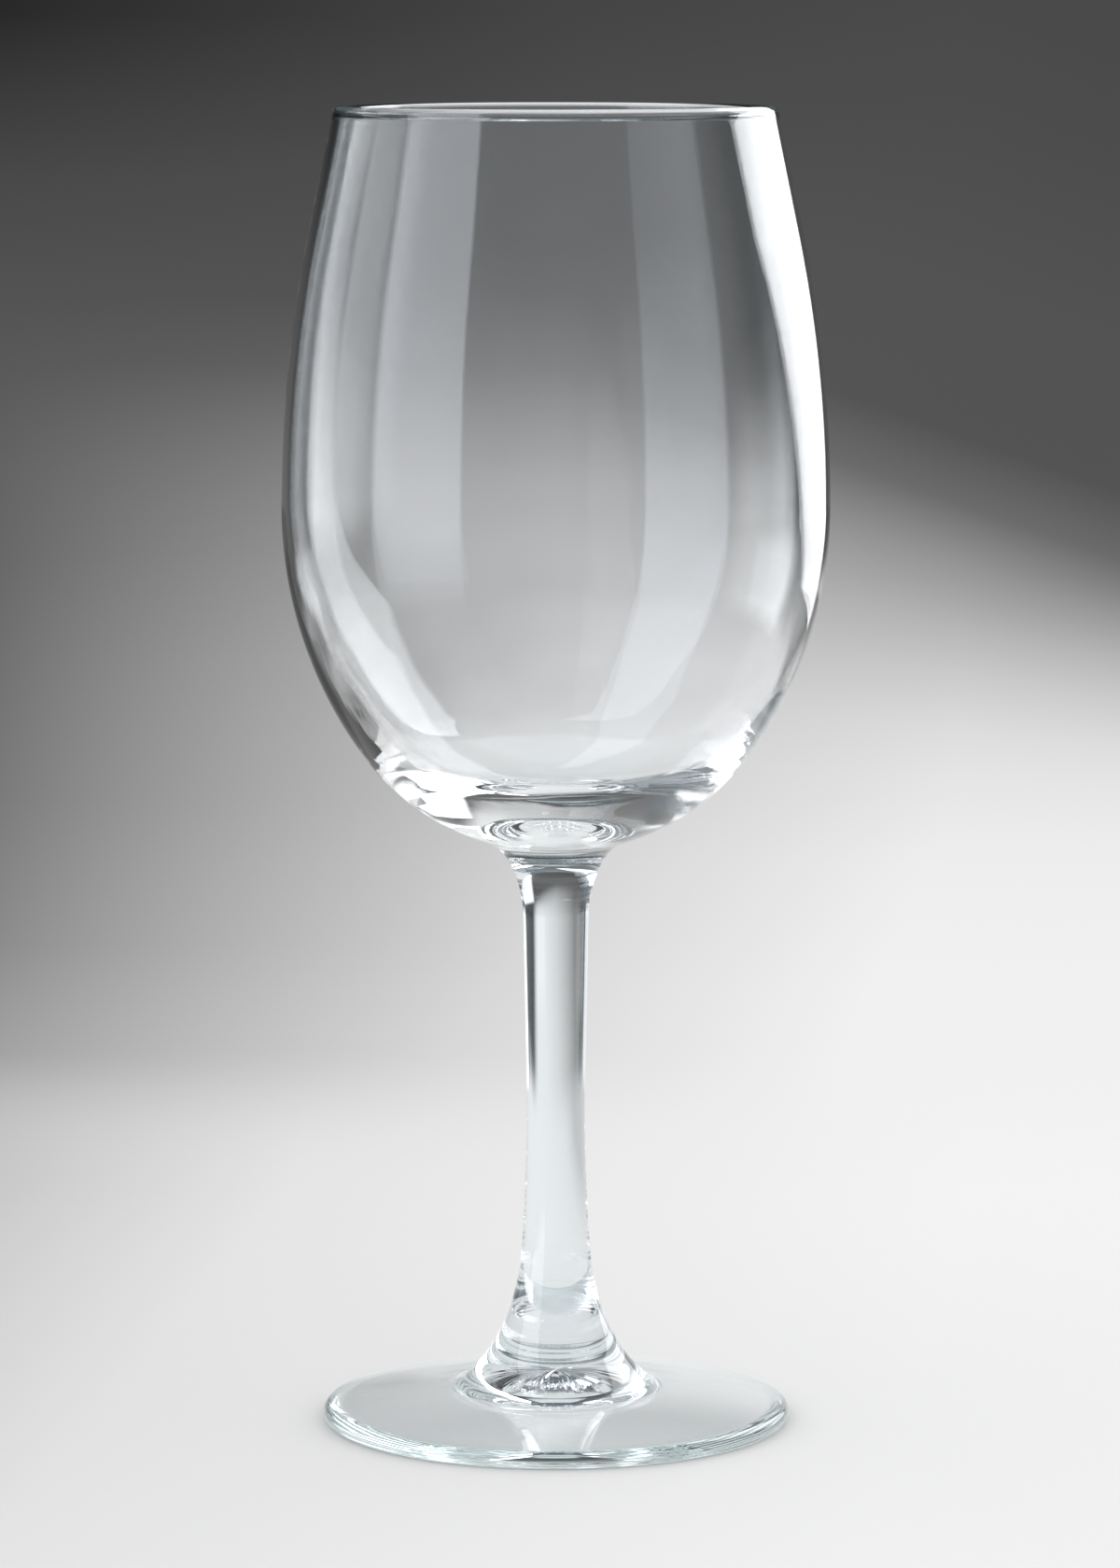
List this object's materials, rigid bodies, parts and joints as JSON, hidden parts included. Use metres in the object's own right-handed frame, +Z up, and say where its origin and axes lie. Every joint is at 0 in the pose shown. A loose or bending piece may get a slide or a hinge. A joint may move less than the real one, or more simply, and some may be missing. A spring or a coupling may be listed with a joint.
{
  "type": "red wine glass",
  "caption": "Stemmed red wine glass of clear glass: tall egg-shaped bowl with a narrowed rim and thick base, waisted solid stem and flat round foot with a hollow underside.",
  "frame": {"origin": "centre of the ring that the foot stands on, at table height", "axes": "+Z up along the glass's axis, towards the rim; X and Y are free, because the glass is round"},
  "size_m": [0.093, 0.093, 0.225],
  "materials": {
    "clear_glass": "fire-polished, clear, faint green at thick edges"
  },
  "bodies": {
    "root": {"bowl": "clear_glass", "stem": "clear_glass", "foot": "clear_glass"}
  },
  "joints": []
}
